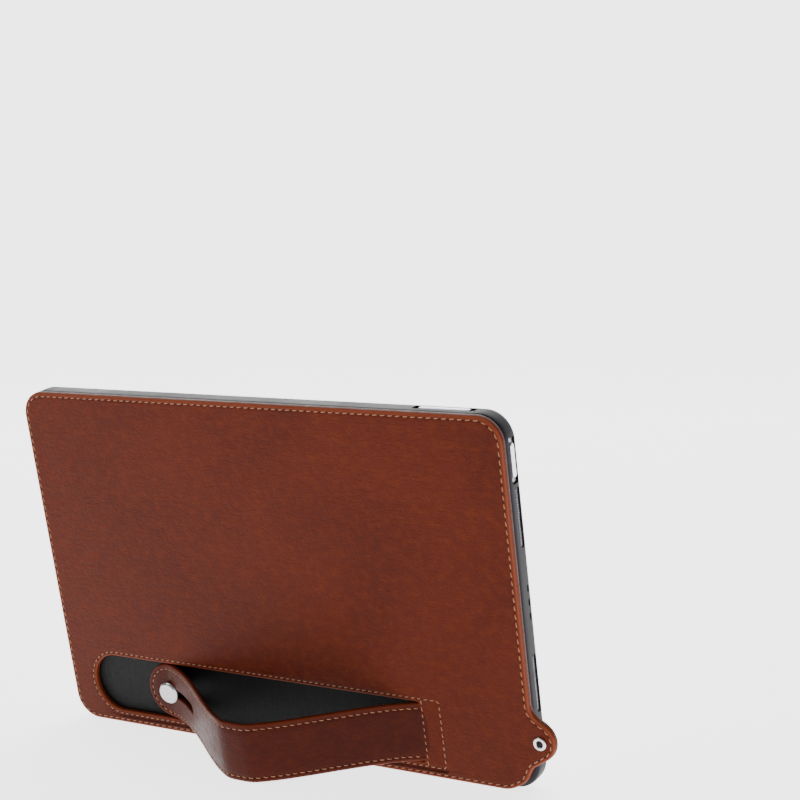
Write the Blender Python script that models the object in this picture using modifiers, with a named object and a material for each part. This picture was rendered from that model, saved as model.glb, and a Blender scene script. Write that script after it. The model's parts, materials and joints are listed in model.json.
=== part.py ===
"""An e-paper tablet in a leather-backed case, standing on its bowed hand strap.

All lengths are in millimetres in the case's own frame: X runs along the long side, Y up the
short side and Z out of the leather back, whose outer face is Z = 0. The helpers turn them
into metres, and an empty leans that frame back until the case stands on its lower edge and
on the strap's loop.
"""

import math

import bmesh
import bpy
from mathutils import Vector

MM = 0.001

# Leather back panel, with the recess that takes the strap and the tab that takes a lanyard
PANEL_LENGTH, PANEL_HEIGHT, PANEL_CORNER = 258.0, 168.0, 12.0
LEATHER_THICK = 1.4
PANEL_DEPTH = 3.2
PANEL_HEM = 1.3
GAP = 0.3
PANEL_CUT_CORNER = 16.0
TAB_CORNERS = (
    (258.0, 37.5, 8.0), (277.0, 25.5, 9.7), (256.9, 12.2, 5.0), (252.9, 4.7, 8.0), (244.8, 0.0, 14.0)
)
EYELET_X, EYELET_Y = 261.8, 25.0
EYELET_HOLE_RADIUS = 2.3

# Strap, its recess and the rivet that its slot slides along
STRAP_Y = 21.3
STRAP_HALF_WIDTH = 14.0
STRAP_THICK = 2.0
STRAP_MID_Z = -1.6
STRAP_HINGE_X = 203.5
STRAP_FLAT_TIP_X = 21.3
STRAP_TRAVEL = 27.0
STRAP_END_LENGTH = 14.5
LINK_COUNT = 13
LINK_GAP = 0.3
SLOPE_POWER = 0.28
RIVET_X = 61.9
RIVET_CAP_RADIUS = 5.5
RIVET_POST_RADIUS = 2.0
SLOT_HALF_WIDTH = 2.3
CAP_SLOT_HALF_WIDTH = 5.9
CAP_SLOT_END = 46.6
RECESS_LEFT_X, RECESS_RIGHT_X, RECESS_HALF_WIDTH = 14.9, 204.0, 14.6
ANCHOR_RIGHT_X = 213.2

# Flexible frame that grips the tablet
FRAME_CORNER = 12.0
FRAME_BACK_Z, FRAME_LIP_Z = -3.5, -12.3
FRAME_WALL = 0.9
FRAME_FLOOR_THICK = 1.2
FRAME_LIP, FRAME_LIP_THICK = 1.6, 0.5
FRAME_ROUND = 1.1

# Tablet
TABLET_BACK_Z, TABLET_RIM_Z, GLASS_FACE_Z = -5.0, -11.4, -11.6
TABLET_INSET = 1.1
TABLET_CORNER = 10.9
TABLET_WALL = 0.9
TABLET_FLOOR = 0.7
GLASS_THICK = 0.7
PORT_Z = -8.3
VOLUME_X, VOLUME_LENGTH = 228.0, 24.4
POWER_Y, POWER_LENGTH = 147.5, 14.6
BUTTON_THICK = 2.3
BUTTON_STAND = 1.2
BUTTON_ROOT = 1.9
SPEAKER_Y = (48.5, 122.8)
SPEAKER_SLOT_LENGTH, SPEAKER_SLOT_THICK = 26.4, 3.0
SPEAKER_SLOT_Z = -9.1
USB_Y, USB_LENGTH, USB_THICK = 84.0, 9.0, 3.3
MICROPHONE_X = 118.0

for old in list(bpy.data.objects):
    bpy.data.objects.remove(old, do_unlink=True)


def make_collection(name):
    made = bpy.data.collections.new(name)
    bpy.context.scene.collection.children.link(made)
    return made


PARTS = make_collection("cased_tablet")
CUTTERS = make_collection("cutters")
CASE = bpy.data.objects.new("case_lean", None)
PARTS.objects.link(CASE)


def material(name, colour, roughness, metallic=0.0):
    made = bpy.data.materials.new(name)
    made.use_nodes = True
    shader = made.node_tree.nodes["Principled BSDF"]
    shader.inputs["Base Color"].default_value = (*colour, 1.0)
    shader.inputs["Roughness"].default_value = roughness
    shader.inputs["Metallic"].default_value = metallic
    return made


LEATHER = material("leather", (0.19, 0.052, 0.024), 0.45)
BOARD = material("board", (0.05, 0.045, 0.045), 0.8)
LINER = material("liner", (0.008, 0.007, 0.008), 0.75)
FRAME = material("frame", (0.045, 0.04, 0.05), 0.5)
NICKEL = material("nickel", (0.75, 0.74, 0.73), 0.22, 1.0)
ALUMINIUM = material("aluminium", (0.66, 0.64, 0.72), 0.35, 1.0)
GLASS = material("glass", (0.05, 0.05, 0.055), 0.12)
PAPER = material("display", (0.86, 0.82, 0.72), 0.6)
GUIDE = material("light_guide", (0.8, 0.84, 0.86), 0.15)
BATTERY = material("battery", (0.1, 0.1, 0.11), 0.45)
CIRCUIT = material("circuit", (0.02, 0.09, 0.05), 0.5)
SHIELD = material("shield", (0.55, 0.55, 0.54), 0.35, 1.0)
PLASTIC = material("plastic", (0.03, 0.03, 0.032), 0.55)
FLEX = material("flex", (0.36, 0.17, 0.03), 0.4)
STEEL = material("steel", (0.5, 0.5, 0.5), 0.3, 1.0)


def add_object(name, data, surface, parent=CASE, at=(0.0, 0.0, 0.0)):
    made = bpy.data.objects.new(name, data)
    PARTS.objects.link(made)
    made.parent = parent
    made.location = Vector(at) * MM
    data.materials.append(surface)
    return made


def rounded_box_mesh(name, low, high, corner=0.0, axis=2, rim=0.0, steps=5):
    """A box whose four edges along axis are rounded by corner, and its two rims by rim."""
    form = bmesh.new()
    bmesh.ops.create_cube(form, size=1.0)
    low, high = Vector(low) * MM, Vector(high) * MM
    for vertex in form.verts:
        vertex.co = Vector(
            (low[i] + high[i]) / 2 + vertex.co[i] * (high[i] - low[i]) for i in range(3)
        )
    if corner:
        upright = [
            edge
            for edge in form.edges
            if abs((edge.verts[0].co - edge.verts[1].co).normalized()[axis]) > 0.99
        ]
        bmesh.ops.bevel(
            form, geom=upright, offset=corner * MM, segments=steps, profile=0.5, affect="EDGES"
        )
    if rim:
        form.normal_update()
        rims = {
            edge for face in form.faces if abs(face.normal[axis]) > 0.99 for edge in face.edges
        }
        bmesh.ops.bevel(
            form, geom=list(rims), offset=rim * MM, segments=2, profile=0.5, affect="EDGES"
        )
    mesh = bpy.data.meshes.new(name)
    form.to_mesh(mesh)
    form.free()
    return mesh


def box(name, low, high, surface, corner=0.0, axis=2, rim=0.0, steps=5, parent=CASE, at=(0, 0, 0)):
    mesh = rounded_box_mesh(name, low, high, corner, axis, rim, steps)
    made = add_object(name, mesh, surface, parent, at)
    if corner:
        mesh.shade_smooth()
        mesh.set_sharp_from_angle(angle=math.radians(35))
    return made


def as_cutter(mesh_object):
    """Moves an object to the cutters, which the model itself leaves out."""
    PARTS.objects.unlink(mesh_object)
    CUTTERS.objects.link(mesh_object)
    mesh_object.hide_render = True
    mesh_object.display_type = "WIRE"
    return mesh_object


def cut(target, cutters):
    for cutter in cutters:
        modifier = target.modifiers.new(cutter.name, "BOOLEAN")
        modifier.operation = "DIFFERENCE"
        modifier.solver = "EXACT"
        modifier.object = cutter


def box_cutter(name, low, high, corner=0.0, axis=2, steps=5):
    return as_cutter(box(name, low, high, PLASTIC, corner, axis, steps=steps))


def filleted(corners, steps=6):
    """A closed outline with an arc in place of each corner, given as (x, y, radius)."""
    points = []
    count = len(corners)
    for i, (x, y, radius) in enumerate(corners):
        here = Vector((x, y))
        back = (Vector(corners[i - 1][:2]) - here).normalized()
        on = (Vector(corners[(i + 1) % count][:2]) - here).normalized()
        half = back.angle(on) / 2
        middle = here + (back + on).normalized() * radius / math.sin(half)
        first = here + back * radius / math.tan(half) - middle
        last = here + on * radius / math.tan(half) - middle
        turn = first.angle_signed(last)
        for k in range(steps + 1):
            angle = -turn * k / steps
            points.append(
                middle
                + Vector(
                    (
                        first.x * math.cos(angle) - first.y * math.sin(angle),
                        first.x * math.sin(angle) + first.y * math.cos(angle),
                    )
                )
            )
    return points


def circle(x, y, radius, steps=24):
    return [
        Vector((x + radius * math.cos(a), y + radius * math.sin(a)))
        for a in (2 * math.pi * k / steps for k in range(steps))
    ]


def slot_outline(left, right, half_width, steps=12):
    """An opening with a round left end and a square right end, centred on the strap."""
    centre = left + half_width
    arc = [math.pi / 2 + math.pi * k / steps for k in range(steps + 1)]
    points = [
        Vector((centre + half_width * math.cos(a), STRAP_Y + half_width * math.sin(a)))
        for a in arc
    ]
    return points + [
        Vector((right, STRAP_Y - half_width)),
        Vector((right, STRAP_Y + half_width)),
    ]


def plate(name, outlines, z_low, z_high, surface):
    """A flat sheet with holes: the first outline is its edge, and the others are its holes."""
    curve = bpy.data.curves.new(name, "CURVE")
    curve.dimensions = "2D"
    curve.fill_mode = "BOTH"
    curve.extrude = (z_high - z_low) / 2 * MM
    for outline in outlines:
        spline = curve.splines.new("POLY")
        spline.points.add(len(outline) - 1)
        for point, place in zip(spline.points, outline):
            point.co = (place.x * MM, place.y * MM, 0.0, 1.0)
        spline.use_cyclic_u = True
    return add_object(name, curve, surface, at=(0, 0, (z_low + z_high) / 2))


def to_mesh(curve_object):
    """Replaces a curve object with the mesh that it draws, its caps welded to its sides."""
    name = curve_object.name
    surface = curve_object.data.materials[0]
    at = curve_object.location.copy() / MM
    graph = bpy.context.evaluated_depsgraph_get()
    mesh = bpy.data.meshes.new_from_object(curve_object.evaluated_get(graph))
    bpy.data.objects.remove(curve_object, do_unlink=True)
    form = bmesh.new()
    form.from_mesh(mesh)
    bmesh.ops.remove_doubles(form, verts=form.verts, dist=1e-6)
    bmesh.ops.recalc_face_normals(form, faces=form.faces)
    form.to_mesh(mesh)
    form.free()
    mesh.materials.clear()
    return add_object(name, mesh, surface, at=at)


def turned(name, profile, x, y, surface, steps=32):
    """A turned piece on a Z axis through x, y. The profile runs down its outer side."""
    mesh = bpy.data.meshes.new(name)
    form = bmesh.new()
    points = [form.verts.new((r * MM, 0.0, z * MM)) for r, z in profile]
    closed = profile[0][0] > 0.0
    for start, end in zip(points, points[1:] + points[:1] if closed else points[1:]):
        form.edges.new((start, end))
    form.to_mesh(mesh)
    form.free()
    made = add_object(name, mesh, surface, at=(x, y, 0.0))
    screw = made.modifiers.new("turn", "SCREW")
    screw.steps = screw.render_steps = steps
    screw.use_merge_vertices = True
    screw.merge_threshold = 1e-6
    screw.use_smooth_shade = True
    return made


def panel_corners(inset=0.0, with_tab=True):
    """The leather panel's corners, anticlockwise from its lower left."""
    low, radius = inset, PANEL_CORNER - inset
    right, top = PANEL_LENGTH - inset, PANEL_HEIGHT - inset
    lower_right = TAB_CORNERS[::-1] if with_tab else ((right, low, PANEL_CUT_CORNER - inset),)
    return [(low, low, radius), *lower_right, (right, top, radius), (low, top, radius)]


def build_panel():
    recess = slot_outline(RECESS_LEFT_X, RECESS_RIGHT_X, RECESS_HALF_WIDTH)
    eyelet_hole = circle(EYELET_X, EYELET_Y, EYELET_HOLE_RADIUS)
    outline = filleted(panel_corners())
    leather = to_mesh(
        plate("back_leather", [outline, recess, eyelet_hole], -PANEL_DEPTH, 0.0, LEATHER)
    )
    below = -PANEL_DEPTH - 1.0
    room = filleted(panel_corners(PANEL_HEM, False))
    under = to_mesh(plate("board_room", [room], below, -LEATHER_THICK, LEATHER))
    tab_left = PANEL_LENGTH - PANEL_HEM - 1.0
    tab_room = box_cutter(
        "tab_room", (tab_left, -1.0, below), (tab_left + 20.0, 47.0, -LEATHER_THICK)
    )
    cut(leather, [as_cutter(under), tab_room])

    board_hole = slot_outline(RECESS_LEFT_X - 1.0, ANCHOR_RIGHT_X + 0.8, RECESS_HALF_WIDTH + 0.7)
    board_low, board_high = -PANEL_DEPTH, -LEATHER_THICK - GAP
    plate(
        "back_board",
        [filleted(panel_corners(PANEL_HEM + GAP, False)), board_hole],
        board_low,
        board_high,
        BOARD,
    )
    liner_edge = slot_outline(RECESS_LEFT_X - 0.7, ANCHOR_RIGHT_X + 0.5, RECESS_HALF_WIDTH + 0.4)
    plate(
        "recess_liner",
        [liner_edge, circle(RIVET_X, STRAP_Y, RIVET_POST_RADIUS + GAP)],
        -PANEL_DEPTH,
        -PANEL_DEPTH + 0.3,
        LINER,
    )
    box(
        "strap_anchor",
        (STRAP_HINGE_X + LINK_GAP, STRAP_Y - STRAP_HALF_WIDTH, STRAP_MID_Z - STRAP_THICK / 2),
        (ANCHOR_RIGHT_X, STRAP_Y + STRAP_HALF_WIDTH, -LEATHER_THICK - GAP),
        LEATHER,
    )
    top, tip = TAB_CORNERS[:2]
    lining_left = PANEL_LENGTH - PANEL_HEM + 0.1
    lining = [(lining_left, 12.9, 0.3), tip, top, (lining_left, 43.5, 0.3)]
    plate("tab_lining", [filleted(lining), eyelet_hole], board_low, board_high, LEATHER)


def build_eyelet():
    bore, barrel, flange = 1.5, 2.0, 3.1
    back_face, front_face = GAP, -PANEL_DEPTH - GAP
    turned(
        "eyelet_barrel",
        [
            (bore + 0.3, back_face + 0.8),
            (flange - 0.5, back_face + 0.7),
            (flange, back_face),
            (barrel, back_face),
            (barrel, front_face - 0.9),
            (bore, front_face - 0.9),
            (bore, back_face + 0.5),
        ],
        EYELET_X,
        EYELET_Y,
        NICKEL,
    )
    washer_bore = barrel + 0.2
    turned(
        "eyelet_washer",
        [
            (washer_bore, front_face),
            (flange, front_face),
            (flange - 0.4, front_face - 0.6),
            (washer_bore, front_face - 0.6),
        ],
        EYELET_X,
        EYELET_Y,
        NICKEL,
    )


def build_rivet():
    base_top, base_radius, base_thick = FRAME_BACK_Z - 0.15, 5.0, 0.5
    head_low, head_high = 0.1, 2.7
    turned(
        "rivet_stud",
        [
            (0.0, head_low + 1.1),
            (RIVET_POST_RADIUS, head_low + 1.1),
            (RIVET_POST_RADIUS, base_top),
            (base_radius, base_top),
            (base_radius, base_top - base_thick),
            (0.0, base_top - base_thick),
        ],
        RIVET_X,
        STRAP_Y,
        NICKEL,
    )
    socket = RIVET_POST_RADIUS + 0.15
    turned(
        "rivet_cap",
        [
            (0.0, head_high),
            (RIVET_CAP_RADIUS - 0.7, head_high),
            (RIVET_CAP_RADIUS, head_high - 0.6),
            (RIVET_CAP_RADIUS, head_low + 0.3),
            (RIVET_CAP_RADIUS - 0.3, head_low),
            (socket, head_low),
            (socket, head_low + 1.4),
            (0.0, head_low + 1.4),
        ],
        RIVET_X,
        STRAP_Y,
        NICKEL,
    )


def strap_slopes():
    """Each link's slope in radians, from the fixed end: up one side of the loop, down the other.

    The falling links have the rising links' slopes reversed, so that the slotted end stays
    level while all slopes shrink together. The steepest slope is found by halving, so that
    flattening the loop moves the end by the slot's travel.
    """
    shape = []
    for i in range(LINK_COUNT):
        wave = math.sin(2 * math.pi * (i + 0.5) / LINK_COUNT)
        shape.append(math.copysign(abs(wave) ** SLOPE_POWER, wave) if abs(wave) > 1e-9 else 0.0)
    low, high = 0.0, math.pi / 2
    for _ in range(50):
        steepest = (low + high) / 2
        taken_up = LINK_LENGTH * sum(1 - math.cos(steepest * part) for part in shape)
        low, high = (steepest, high) if taken_up < STRAP_TRAVEL else (low, steepest)
    return [steepest * part for part in shape]


LINK_LENGTH = (STRAP_HINGE_X - STRAP_FLAT_TIP_X - STRAP_END_LENGTH) / LINK_COUNT
SLOPES = strap_slopes()


def strap_piece(name, near, far, y_low, y_high, parent, at, turn):
    """A length of strap reaching back from its hinge, from near to far along it."""
    half = STRAP_THICK / 2
    made = box(
        name, (-far, y_low, -half), (-near, y_high, half), LEATHER,
        corner=0.6, axis=0, steps=2, parent=parent, at=at,
    )
    made.rotation_euler = (0.0, turn, 0.0)
    return made


def build_strap():
    """Links hinged end to end, with a slotted end piece that the rivet holds to the panel."""
    parent, at, before = CASE, (STRAP_HINGE_X, STRAP_Y, STRAP_MID_Z), 0.0
    length_from_tip = STRAP_END_LENGTH + LINK_COUNT * LINK_LENGTH
    half = STRAP_HALF_WIDTH
    for number, slope in enumerate(SLOPES, start=1):
        name = f"strap_link_{number:02d}"
        turn = slope - before
        near, far = LINK_GAP, LINK_LENGTH - LINK_GAP
        length_from_tip -= LINK_LENGTH
        if CAP_SLOT_END > length_from_tip + LINK_LENGTH:
            inner = CAP_SLOT_HALF_WIDTH
            first = strap_piece(name + "_upper", near, far, inner, half, parent, at, turn)
            strap_piece(name + "_lower", near, far, -half, -inner, parent, at, turn)
        else:
            first = strap_piece(name, near, far, -half, half, parent, at, turn)
            if CAP_SLOT_END > length_from_tip:
                notch = box_cutter(
                    name + "_notch",
                    (-LINK_LENGTH - 5.0, -CAP_SLOT_HALF_WIDTH, -5.0),
                    (-LINK_LENGTH + CAP_SLOT_END - length_from_tip, CAP_SLOT_HALF_WIDTH, 5.0),
                )
                notch.parent = first
                cut(first, [notch])
        parent, at, before = first, (-LINK_LENGTH, 0.0, 0.0), slope
    half_thick = STRAP_THICK / 2
    centre = half - STRAP_END_LENGTH
    arc = [math.pi / 2 + math.pi * k / 16 for k in range(17)]
    outline = [Vector((centre + half * math.cos(a), half * math.sin(a))) for a in arc]
    outline += [Vector((-LINK_GAP, -half)), Vector((-LINK_GAP, half))]
    end = to_mesh(plate("strap_end", [outline], -half_thick, half_thick, LEATHER))
    end.parent = parent
    end.location = (-LINK_LENGTH * MM, 0.0, 0.0)
    end.rotation_euler = (0.0, -before, 0.0)
    bevel = end.modifiers.new("edge", "BEVEL")
    bevel.width, bevel.segments, bevel.limit_method = 0.5 * MM, 1, "ANGLE"
    rest_tip = STRAP_FLAT_TIP_X + STRAP_TRAVEL
    rivet_on_end = RIVET_X - rest_tip - STRAP_END_LENGTH
    slot = box_cutter(
        "end_slot",
        (rivet_on_end - SLOT_HALF_WIDTH, -SLOT_HALF_WIDTH, -5.0),
        (5.0, SLOT_HALF_WIDTH, 5.0),
    )
    slot.parent = end
    cut(end, [slot])


def side_cutter(name, along, length, z, thick, side, reach=6.0):
    """A round-ended hole through one wall: side is left, right, top or bottom."""
    half, tall = length / 2, thick / 2
    round_end = min(half, tall) * 0.98
    if side in ("left", "right"):
        x = 0.0 if side == "left" else PANEL_LENGTH
        low, high = (x - reach, along - half, z - tall), (x + reach, along + half, z + tall)
        return box_cutter(name, low, high, round_end, axis=0)
    y = 0.0 if side == "bottom" else PANEL_HEIGHT
    low, high = (along - half, y - reach, z - tall), (along + half, y + reach, z + tall)
    return box_cutter(name, low, high, round_end, axis=1)


def build_frame():
    frame = box(
        "case_frame",
        (0.0, 0.0, FRAME_LIP_Z),
        (PANEL_LENGTH, PANEL_HEIGHT, FRAME_BACK_Z),
        FRAME,
        corner=FRAME_CORNER,
        steps=8,
    )
    rounding = frame.modifiers.new("edges", "BEVEL")
    rounding.width, rounding.segments = FRAME_ROUND * MM, 3
    rounding.limit_method = "ANGLE"
    rounding.angle_limit = math.radians(60)
    inner = FRAME_WALL
    pocket = box_cutter(
        "tablet_pocket",
        (inner, inner, FRAME_LIP_Z + FRAME_LIP_THICK),
        (PANEL_LENGTH - inner, PANEL_HEIGHT - inner, FRAME_BACK_Z - FRAME_FLOOR_THICK),
        FRAME_CORNER - FRAME_WALL,
        steps=8,
    )
    lip = inner + FRAME_LIP
    window = box_cutter(
        "lip_window",
        (lip, lip, FRAME_LIP_Z - 5.0),
        (PANEL_LENGTH - lip, PANEL_HEIGHT - lip, FRAME_LIP_Z + 2.0),
        FRAME_CORNER - FRAME_WALL - FRAME_LIP,
        steps=8,
    )
    openings = [
        side_cutter("volume_opening", VOLUME_X, VOLUME_LENGTH + 5.0, PORT_Z, 5.2, "top"),
        side_cutter("power_opening", POWER_Y, POWER_LENGTH + 5.0, PORT_Z, 5.2, "right"),
        side_cutter("usb_opening", USB_Y, USB_LENGTH + 4.0, PORT_Z, 6.0, "left"),
        side_cutter("microphone_opening", MICROPHONE_X, 3.6, PORT_Z, 3.6, "bottom"),
    ]
    for level, y in zip(("lower", "upper"), SPEAKER_Y):
        for side in ("left", "right"):
            openings.append(
                side_cutter(
                    f"speaker_opening_{level}_{side}",
                    y, SPEAKER_SLOT_LENGTH, SPEAKER_SLOT_Z, SPEAKER_SLOT_THICK, side,
                )
            )
    for number in range(3):
        openings.append(
            side_cutter(f"vent_opening_{number + 1}", 78.9 + 6.2 * number, 3.2, -9.6, 1.3, "right")
        )
    rivet_seat = as_cutter(
        box(
            "rivet_seat",
            (RIVET_X - 5.4, STRAP_Y - 5.4, FRAME_BACK_Z - 0.9),
            (RIVET_X + 5.4, STRAP_Y + 5.4, FRAME_BACK_Z + 5.0),
            FRAME, corner=5.2, steps=6,
        )
    )
    cut(frame, [pocket, window, rivet_seat, *openings])


def build_tablet_shell():
    inset = TABLET_INSET
    right, top = PANEL_LENGTH - inset, PANEL_HEIGHT - inset
    housing = box(
        "tablet_housing", (inset, inset, TABLET_RIM_Z), (right, top, TABLET_BACK_Z), ALUMINIUM,
        corner=TABLET_CORNER, steps=8,
    )
    rounding = housing.modifiers.new("edges", "BEVEL")
    rounding.width, rounding.segments = 0.9 * MM, 2
    rounding.limit_method = "ANGLE"
    rounding.angle_limit = math.radians(60)
    wall = inset + TABLET_WALL
    inside = box_cutter(
        "housing_inside",
        (wall, wall, TABLET_RIM_Z - 5.0),
        (PANEL_LENGTH - wall, PANEL_HEIGHT - wall, TABLET_BACK_Z - TABLET_FLOOR),
        TABLET_CORNER - TABLET_WALL,
        steps=8,
    )
    reach = 3.4
    thick = BUTTON_THICK + 2 * GAP
    holes = [
        side_cutter("volume_hole", VOLUME_X, VOLUME_LENGTH + 2 * GAP, PORT_Z, thick, "top", reach),
        side_cutter("power_hole", POWER_Y, POWER_LENGTH + 2 * GAP, PORT_Z, thick, "right", reach),
        side_cutter("usb_hole", USB_Y, USB_LENGTH, PORT_Z, USB_THICK, "left", reach),
        side_cutter("microphone_hole", MICROPHONE_X, 1.2, PORT_Z, 1.2, "bottom", reach),
    ]
    for y in SPEAKER_Y:
        for side in ("left", "right"):
            holes.append(
                side_cutter(f"sound_hole_{side}_{y:.0f}", y, 20.0, SPEAKER_SLOT_Z, 1.2, side, reach)
            )
    cut(housing, [inside, *holes])

    glass_in = wall + GAP
    box(
        "cover_glass",
        (glass_in, glass_in, GLASS_FACE_Z),
        (PANEL_LENGTH - glass_in, PANEL_HEIGHT - glass_in, GLASS_FACE_Z + GLASS_THICK),
        GLASS,
        corner=TABLET_CORNER - TABLET_WALL - GAP,
    )
    layers = (
        ("light_guide", -10.75, -10.25, 11.4, 8.0, GUIDE),
        ("display_panel", -10.05, -9.2, 10.4, 7.0, PAPER),
    )
    for name, low, high, side_x, side_y, surface in layers:
        box(
            name, (side_x, side_y, low), (PANEL_LENGTH - side_x, PANEL_HEIGHT - side_y, high),
            surface, corner=1.0, steps=2,
        )
    middle = box(
        "mid_frame", (2.6, 2.6, -9.0), (PANEL_LENGTH - 2.6, PANEL_HEIGHT - 2.6, -8.5), SHIELD,
        corner=9.4, steps=4,
    )
    window = box_cutter("cable_window", (150.0, 9.0, -12.0), (180.0, 15.0, -5.0), 1.0, steps=2)
    clear = GAP + 0.3
    notches = [
        box_cutter(
            "volume_notch",
            (VOLUME_X - VOLUME_LENGTH / 2 - clear, PANEL_HEIGHT - 8.0, -12.0),
            (VOLUME_X + VOLUME_LENGTH / 2 + clear, PANEL_HEIGHT, -5.0),
        ),
        box_cutter(
            "power_notch",
            (PANEL_LENGTH - 8.0, POWER_Y - POWER_LENGTH / 2 - clear, -12.0),
            (PANEL_LENGTH, POWER_Y + POWER_LENGTH / 2 + clear, -5.0),
        ),
        box_cutter("usb_notch", (0.0, USB_Y - 6.0, -12.0), (12.0, USB_Y + 6.0, -5.0)),
        box_cutter(
            "microphone_notch", (MICROPHONE_X - 4.0, 0.0, -12.0), (MICROPHONE_X + 4.0, 6.5, -5.0)
        ),
    ]
    cut(middle, [window, *notches])


def build_buttons():
    tall = BUTTON_THICK / 2
    tablet_top, tablet_right = PANEL_HEIGHT - TABLET_INSET, PANEL_LENGTH - TABLET_INSET
    half = VOLUME_LENGTH / 2
    box(
        "volume_rocker",
        (-half, -BUTTON_ROOT, -tall),
        (half, BUTTON_STAND, tall),
        ALUMINIUM, corner=tall * 0.98, axis=1, rim=0.25,
        at=(VOLUME_X, tablet_top, PORT_Z),
    )
    half = POWER_LENGTH / 2
    box(
        "power_button",
        (-BUTTON_ROOT, -half, -tall),
        (BUTTON_STAND, half, tall),
        ALUMINIUM, corner=tall * 0.98, axis=0, rim=0.25,
        at=(tablet_right, POWER_Y, PORT_Z),
    )
    switch_face = BUTTON_ROOT + 0.7
    switch_back = switch_face + 2.4
    box(
        "volume_switch",
        (VOLUME_X - 10.0, tablet_top - switch_back, PORT_Z - 1.0),
        (VOLUME_X + 10.0, tablet_top - switch_face, PORT_Z + 1.0),
        PLASTIC,
    )
    box(
        "power_switch",
        (tablet_right - switch_back, POWER_Y - 3.0, PORT_Z - 1.0),
        (tablet_right - switch_face, POWER_Y + 3.0, PORT_Z + 1.0),
        PLASTIC,
    )


def build_inside():
    """The tablet's working parts, in the space between its housing and the mid frame."""
    floor_z, roof_z = TABLET_BACK_Z - TABLET_FLOOR - 0.2, -8.3
    for name, x_low, x_high in (("battery_left", 20.0, 110.0), ("battery_right", 112.0, 202.0)):
        box(name, (x_low, 62.0, roof_z), (x_high, 146.0, floor_z), BATTERY, corner=2.0, steps=2)
    board_corners = [
        (40.0, 18.0, 1.0), (241.0, 18.0, 1.0), (241.0, 100.0, 1.0),
        (208.0, 100.0, 1.0), (208.0, 58.0, 1.0), (40.0, 58.0, 1.0),
    ]
    posts = [(46.0, 24.0), (46.0, 52.0), (236.0, 24.0), (236.0, 95.0)]
    holes = [circle(x, y, 1.3, 12) for x, y in posts]
    board_low, board_high = -7.0, -6.2
    plate(
        "main_board", [filleted(board_corners, 2), *holes], board_low, board_high, CIRCUIT
    )
    chip_top, chip_low = board_low - 0.15, -8.2
    chips = (
        ("processor_shield", 120.0, 26.0, 150.0, 50.0, SHIELD, 1.0),
        ("radio_shield", 212.0, 62.0, 232.0, 90.0, SHIELD, 1.0),
        ("memory_chip", 160.0, 30.0, 174.0, 42.0, PLASTIC, 0.4),
        ("charge_chip", 62.0, 30.0, 72.0, 40.0, PLASTIC, 0.4),
    )
    for name, x0, y0, x1, y1, surface, corner in chips:
        box(name, (x0, y0, chip_low), (x1, y1, chip_top), surface, corner=corner, steps=2)
    for number, (x, y) in enumerate(posts, start=1):
        turned(
            f"board_screw_{number}",
            [
                (0.0, chip_low + 0.3), (0.55, chip_low + 0.3), (2.0, chip_low + 0.6),
                (2.0, chip_top), (0.9, chip_top), (0.9, board_high + 0.1), (0.0, board_high + 0.1),
            ][::-1],
            x, y, STEEL, steps=12,
        )
    box("display_cable", (152.0, 10.5, -9.05), (178.0, 13.5, -7.4), FLEX)
    box(
        "usb_port", (2.3, USB_Y - 4.5, PORT_Z - 1.6), (10.0, USB_Y + 4.5, PORT_Z + 1.6), STEEL,
        corner=1.5, axis=0, steps=4,
    )
    socket = box_cutter(
        "usb_socket", (-1.0, USB_Y - 4.1, PORT_Z - 1.2), (8.5, USB_Y + 4.1, PORT_Z + 1.2), 1.1, 0, 4
    )
    cut(bpy.data.objects["usb_port"], [socket])
    box(
        "port_board", (11.0, USB_Y - 14.0, board_low), (17.5, USB_Y + 14.0, board_high), CIRCUIT,
        corner=0.5, steps=1,
    )
    for level, y in zip(("lower", "upper"), SPEAKER_Y):
        for side, x in (("left", 3.0), ("right", PANEL_LENGTH - 15.0)):
            box(
                f"speaker_{level}_{side}",
                (x, y - 11.0, roof_z), (x + 12.0, y + 11.0, floor_z),
                PLASTIC, corner=1.5, steps=2,
            )
    box(
        "microphone", (MICROPHONE_X - 2.0, 2.4, PORT_Z - 0.6), (MICROPHONE_X + 2.0, 5.4, PORT_Z + 0.6),
        STEEL, corner=0.4, steps=1,
    )
    box("antenna_strip", (60.0, 158.0, -7.4), (150.0, 163.0, -6.9), FLEX, corner=0.5, steps=1)


def corners_of(parts):
    """Every corner of the given parts, in metres in the world."""
    graph = bpy.context.evaluated_depsgraph_get()
    corners = []
    for part in parts:
        shape = part.evaluated_get(graph)
        corners += [shape.matrix_world @ vertex.co for vertex in shape.to_mesh().vertices]
        shape.to_mesh_clear()
    return corners


def resting_lean(strap, rest):
    """The lean at which the strap's lowest corner comes level with the rest of the case's.

    Both are corners in the case's own frame, where a lean of a raises a corner to
    y cos(a) - z sin(a).
    """
    low, high = 0.0, math.radians(40)
    for _ in range(40):
        lean = (low + high) / 2
        strap_low, rest_low = (
            min(corner.y * math.cos(lean) - corner.z * math.sin(lean) for corner in corners)
            for corners in (strap, rest)
        )
        low, high = (lean, high) if strap_low > rest_low else (low, lean)
    return lean


def stand_up():
    """Leans the case until its lower edge and the loop share a floor, then centres it."""
    bpy.context.view_layer.update()
    solids = [part for part in PARTS.objects if part.type != "EMPTY"]
    strap = [part for part in solids if part.name.startswith(("strap_link", "strap_end"))]
    lean = resting_lean(corners_of(strap), corners_of(set(solids) - set(strap)))
    CASE.rotation_euler = (math.pi / 2 + lean, 0.0, 0.0)
    bpy.context.view_layer.update()
    corners = corners_of(solids)
    low, high = (Vector(limit(c[i] for c in corners) for i in range(3)) for limit in (min, max))
    CASE.location = (-(low.x + high.x) / 2, -(low.y + high.y) / 2, -low.z)


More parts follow.
